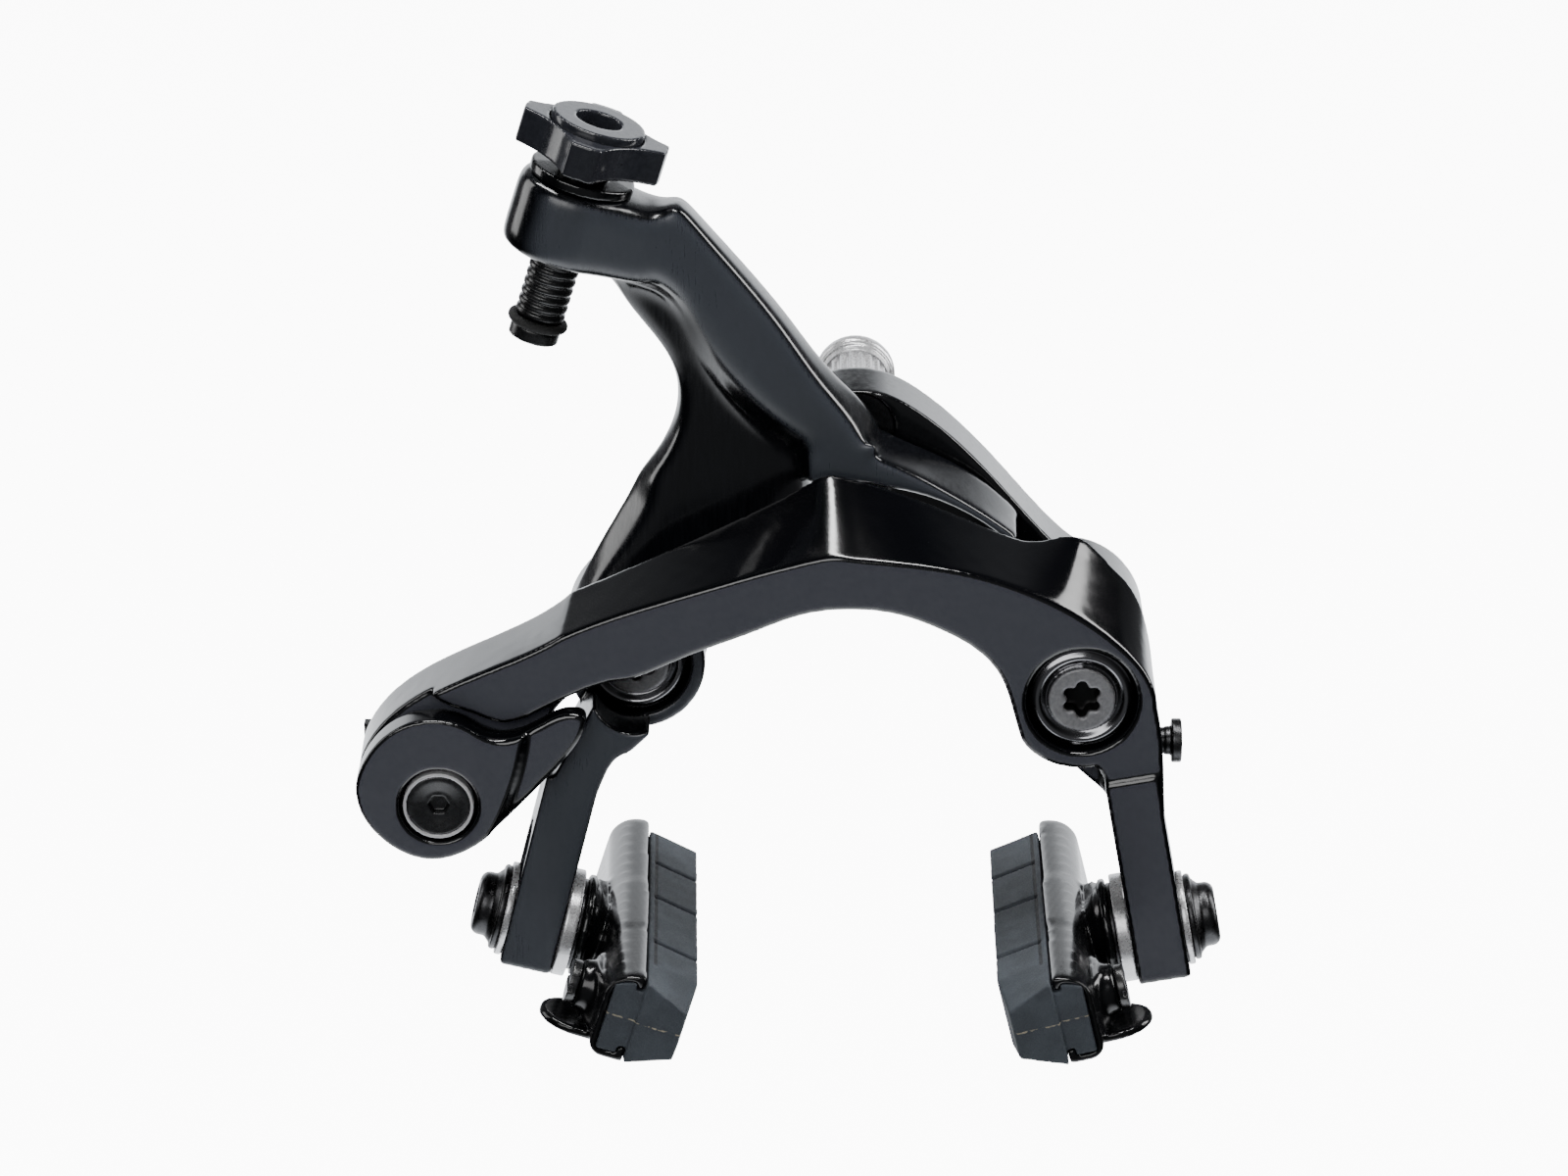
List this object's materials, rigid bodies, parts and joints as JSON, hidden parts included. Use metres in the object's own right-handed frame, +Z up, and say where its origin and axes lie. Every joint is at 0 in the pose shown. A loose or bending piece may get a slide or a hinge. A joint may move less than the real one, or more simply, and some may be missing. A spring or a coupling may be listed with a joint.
{
  "type": "rim brake caliper",
  "caption": "Centre-bolt dual-pivot rim brake caliper for a road bicycle, with arms that close together, cartridge brake shoes, barrel adjuster and quick-release lever.",
  "frame": {"origin": "on the centre bolt axis at the mounting face, the back of the fork washer", "axes": "+X to the viewer's right, +Y from the front arm towards the fork, +Z up towards the cable adjuster"},
  "size_m": [0.0961, 0.0599, 0.1028],
  "materials": {
    "black_alloy": "satin black anodising, polished on the upper facets",
    "black_steel": "dark chemically blackened steel",
    "bright_steel": "bright plated",
    "spring_steel": "bright spring wire",
    "bush_polymer": "moulded bearing polymer",
    "pad_rubber": "matt blue-grey brake compound",
    "ring_rubber": "black elastomer"
  },
  "bodies": {
    "bridge": {"bridge_plate": "black_alloy", "centre_bolt": "bright_steel", "toothed_washer": "bright_steel", "fork_washer": "bright_steel", "pivot_bolt_right": "black_steel", "pivot_bolt_left": "black_steel", "spring_seat": "bush_polymer", "spring_right": "spring_steel", "spring_left": "spring_steel"},
    "front_arm": {"front_arm": "black_alloy", "pivot_bush_right": "bush_polymer", "roller_clip": "black_steel"},
    "cam_roller": {"cam_roller": "bright_steel"},
    "release": {"release_lever": "black_alloy", "release_ring": "bright_steel", "release_screw": "black_steel", "release_shaft": "black_steel", "stub_clip": "black_steel"},
    "anchor": {"anchor_block": "black_alloy", "anchor_plate": "bright_steel", "anchor_bolt": "black_steel"},
    "tension_screw": {"tension_screw": "black_steel"},
    "rear_arm": {"rear_arm": "black_alloy", "pivot_bush_left": "bush_polymer", "adjuster_collar": "black_alloy"},
    "housing_seat": {"adjuster_seat": "black_alloy"},
    "adjuster": {"adjuster_star": "black_alloy", "adjuster_rod": "black_steel", "stop_ring": "ring_rubber"},
    "pad_clamp_right": {"spacer_washer_right": "bright_steel", "cup_washer_right": "black_steel", "ball_washer_right": "black_steel", "outer_washer_right": "bright_steel", "pad_nut_right": "black_steel"},
    "shoe_right": {"shoe_holder_right": "black_alloy", "brake_pad_right": "pad_rubber", "pad_screw_right": "black_steel"},
    "pad_clamp_left": {"spacer_washer_left": "bright_steel", "cup_washer_left": "black_steel", "ball_washer_left": "black_steel", "outer_washer_left": "bright_steel", "pad_nut_left": "black_steel"},
    "shoe_left": {"shoe_holder_left": "black_alloy", "brake_pad_left": "pad_rubber", "pad_screw_left": "black_steel"}
  },
  "joints": [
    {"name": "front_arm_pivot", "type": "hinge", "parent": "bridge", "child": "front_arm", "pos_m": [0.0245, -0.0319, -0.0246], "axis": [0, 1, 0], "range_deg": [0, 14], "stiffness_Nm_per_rad": 0.9, "springref_deg": -28.65, "deforming": ["spring_right"]},
    {"name": "rear_arm_pivot", "type": "hinge", "parent": "bridge", "child": "rear_arm", "pos_m": [-0.0245, -0.0229, -0.0246], "axis": [0, 1, 0], "range_deg": [-14, 0], "deforming": ["spring_left"]},
    {"name": "roller_spin", "type": "hinge", "parent": "front_arm", "child": "cam_roller", "pos_m": [0, -0.0246, -0.0076], "axis": [0, 1, 0], "continuous": true},
    {"name": "release_lever_turn", "type": "hinge", "parent": "front_arm", "child": "release", "pos_m": [-0.046, -0.0319, -0.0361], "axis": [0, 1, 0], "range_deg": [0, 70]},
    {"name": "anchor_turn", "type": "hinge", "parent": "release", "child": "anchor", "pos_m": [-0.046, -0.0239, -0.0377], "axis": [0, 1, 0], "range_deg": [-70, 0]},
    {"name": "tension_screw_turn", "type": "hinge", "parent": "front_arm", "child": "tension_screw", "pos_m": [0.034, -0.0323, -0.0314], "axis": [1, 0, 0], "range_deg": [-180, 180]},
    {"name": "housing_seat_lift", "type": "slide", "parent": "rear_arm", "child": "housing_seat", "axis": [0.2924, 0, 0.9563], "range_m": [-0.0009, 0.007]},
    {"name": "adjuster_turn", "type": "hinge", "parent": "housing_seat", "child": "adjuster", "pos_m": [-0.0279, -0.0235, 0.0376], "axis": [0.2924, 0, 0.9563], "range_deg": [-324, 2520]},
    {"name": "pad_height_right", "type": "slide", "parent": "front_arm", "child": "pad_clamp_right", "axis": [-0.1754, 0, 0.9845], "range_m": [0, 0.008]},
    {"name": "shoe_tilt_right", "type": "hinge", "parent": "pad_clamp_right", "child": "shoe_right", "pos_m": [0.03355, -0.0325, -0.05355], "axis": [0.9845, 0, 0.1754], "range_deg": [-6, 6]},
    {"name": "pad_height_left", "type": "slide", "parent": "rear_arm", "child": "pad_clamp_left", "axis": [0.2419, 0, 0.9703], "range_m": [0, 0.008]},
    {"name": "shoe_tilt_left", "type": "hinge", "parent": "pad_clamp_left", "child": "shoe_left", "pos_m": [-0.0359, -0.0311, -0.0533], "axis": [0.9703, 0, -0.2419], "range_deg": [-6, 6]}
  ],
  "couplings": [
    {"joint": "rear_arm_pivot", "follows": "front_arm_pivot", "ratio": -1},
    {"joint": "anchor_turn", "follows": "release_lever_turn", "ratio": -1},
    {"joint": "adjuster_turn", "follows": "housing_seat_lift", "rad_per_m": 6283.2}
  ]
}
